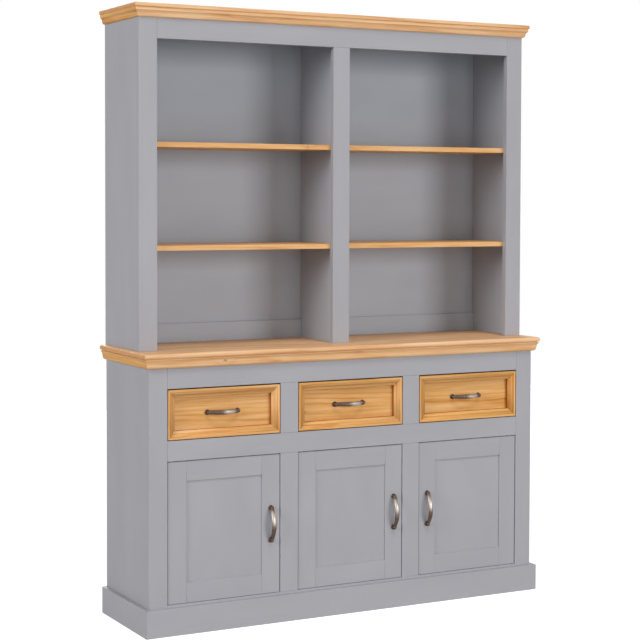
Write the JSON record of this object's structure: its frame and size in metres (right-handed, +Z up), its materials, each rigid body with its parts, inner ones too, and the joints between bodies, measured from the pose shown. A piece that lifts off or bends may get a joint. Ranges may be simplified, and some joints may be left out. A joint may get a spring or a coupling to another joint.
{
  "type": "hutch",
  "caption": "Painted dresser hutch: open shelves with a moulded pine cornice above a pine-topped base with drawers over panelled doors, all with bow handles.",
  "frame": {"origin": "on the floor under the middle of the hutch's box", "axes": "+Z up, -Y the front with the doors and drawers, +X to the right as seen from the front"},
  "size_m": [1.444, 0.388, 1.927],
  "materials": {
    "grey_paint": "satin grey paint on wood",
    "pine": "oiled honey pine",
    "inner_wood": "bare pale softwood and ply",
    "pewter": "cast zinc alloy, aged pewter",
    "steel": "zinc-plated steel",
    "brass": "turned brass",
    "catch_plastic": "brown moulded plastic"
  },
  "bodies": {
    "carcass": {"base_back_panel": "inner_wood", "base_bottom_board": "inner_wood", "base_bottom_rail": "grey_paint", "base_mid_rail": "grey_paint", "base_mullions": "grey_paint", "base_partitions": "inner_wood", "base_side_left": "grey_paint", "base_side_right": "grey_paint", "base_stiles": "grey_paint", "base_top_rail": "grey_paint", "cornice_board": "pine", "cornice_moulding": "pine", "cupboard_shelves": "inner_wood", "drawer_runners": "inner_wood", "drawer_stops": "inner_wood", "hutch_back_panel": "grey_paint", "hutch_back_rails": "grey_paint", "hutch_divider": "grey_paint", "hutch_dowels": "inner_wood", "hutch_roof_board": "grey_paint", "hutch_side_left": "grey_paint", "hutch_side_right": "grey_paint", "hutch_stiles": "grey_paint", "hutch_top_rail": "grey_paint", "lower_shelves": "pine", "magnet_catches": "catch_plastic", "pivot_bushes": "brass", "plinth": "grey_paint", "shelf_battens": "inner_wood", "top_board": "pine", "top_moulding": "pine", "upper_shelves": "pine"},
    "drawer_left": {"drawer_left_box": "inner_wood", "drawer_left_front_edging": "pine", "drawer_left_front_panel": "pine", "drawer_left_handle": "pewter"},
    "door_left": {"door_left_frame": "grey_paint", "door_left_handle": "pewter", "door_left_panel": "grey_paint", "door_left_pivot_pins": "steel", "door_left_strike": "steel"},
    "drawer_middle": {"drawer_middle_box": "inner_wood", "drawer_middle_front_edging": "pine", "drawer_middle_front_panel": "pine", "drawer_middle_handle": "pewter"},
    "door_middle": {"door_middle_frame": "grey_paint", "door_middle_handle": "pewter", "door_middle_panel": "grey_paint", "door_middle_pivot_pins": "steel", "door_middle_strike": "steel"},
    "drawer_right": {"drawer_right_box": "inner_wood", "drawer_right_front_edging": "pine", "drawer_right_front_panel": "pine", "drawer_right_handle": "pewter"},
    "door_right": {"door_right_frame": "grey_paint", "door_right_handle": "pewter", "door_right_panel": "grey_paint", "door_right_pivot_pins": "steel", "door_right_strike": "steel"}
  },
  "joints": [
    {"name": "drawer_left_slide", "type": "slide", "parent": "carcass", "child": "drawer_left", "axis": [0, -1, 0], "range_m": [0, 0.25]},
    {"name": "drawer_middle_slide", "type": "slide", "parent": "carcass", "child": "drawer_middle", "axis": [0, -1, 0], "range_m": [0, 0.25]},
    {"name": "drawer_right_slide", "type": "slide", "parent": "carcass", "child": "drawer_right", "axis": [0, -1, 0], "range_m": [0, 0.25]},
    {"name": "door_left_hinge", "type": "hinge", "parent": "carcass", "child": "door_left", "pos_m": [-0.622, -0.156, 0.312], "axis": [0, 0, -1], "range_deg": [0, 105]},
    {"name": "door_middle_hinge", "type": "hinge", "parent": "carcass", "child": "door_middle", "pos_m": [-0.1745, -0.156, 0.312], "axis": [0, 0, -1], "range_deg": [0, 105]},
    {"name": "door_right_hinge", "type": "hinge", "parent": "carcass", "child": "door_right", "pos_m": [0.622, -0.156, 0.312], "axis": [0, 0, 1], "range_deg": [0, 105]}
  ]
}
